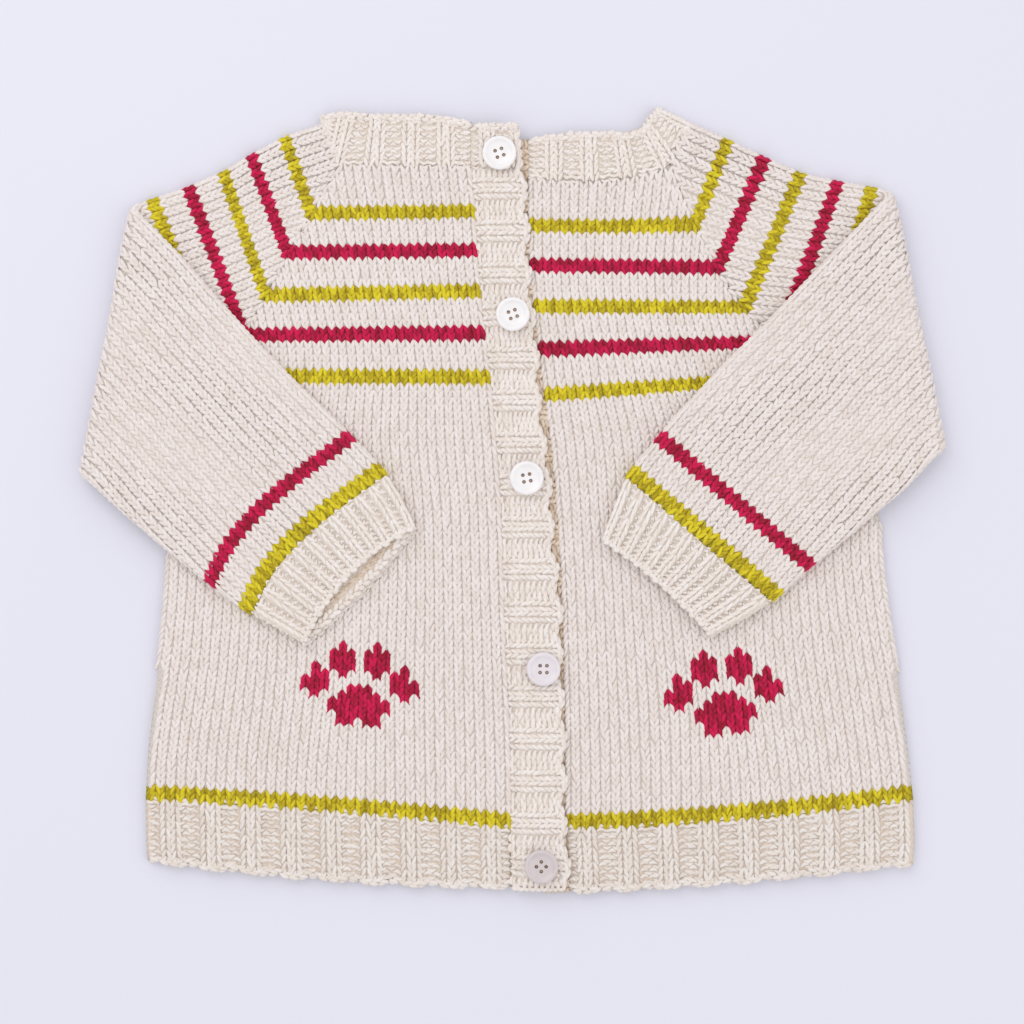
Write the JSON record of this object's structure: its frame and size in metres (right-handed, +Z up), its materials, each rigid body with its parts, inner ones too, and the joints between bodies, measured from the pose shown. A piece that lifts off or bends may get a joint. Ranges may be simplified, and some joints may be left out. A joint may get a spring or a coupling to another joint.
{
  "type": "baby cardigan",
  "caption": "Hand-knit raglan baby cardigan in cream wool with crimson and yellow-green stripes, paw motifs and buttons, laid flat with its sleeves folded over the front.",
  "frame": {"origin": "bottom centre of the whole cardigan as it lies, on the surface", "axes": "+X to the wearer's left, which is the viewer's right; +Y towards the neck; +Z up, off the surface"},
  "size_m": [0.3116, 0.2828, 0.0093],
  "materials": {
    "cream_knit": "soft hand-knit wool, stocking stitch, with crimson and yellow-green stripes",
    "cream_rib": "soft hand-knit wool, ribbed",
    "pearl_button": "pearly white, softly glossy"
  },
  "bodies": {
    "root": {"back": "cream_knit", "front_right": "cream_knit", "front_left": "cream_knit", "sleeve_right": "cream_knit", "sleeve_left": "cream_knit", "hem_back": "cream_rib", "hem_front_right": "cream_rib", "hem_front_left": "cream_rib", "neckband": "cream_rib", "buttonhole_band": "cream_rib", "button_band": "cream_rib", "cuff_right": "cream_rib", "cuff_left": "cream_rib", "button_1": "pearl_button", "button_2": "pearl_button", "button_3": "pearl_button", "button_4": "pearl_button", "button_5": "pearl_button"}
  },
  "joints": []
}
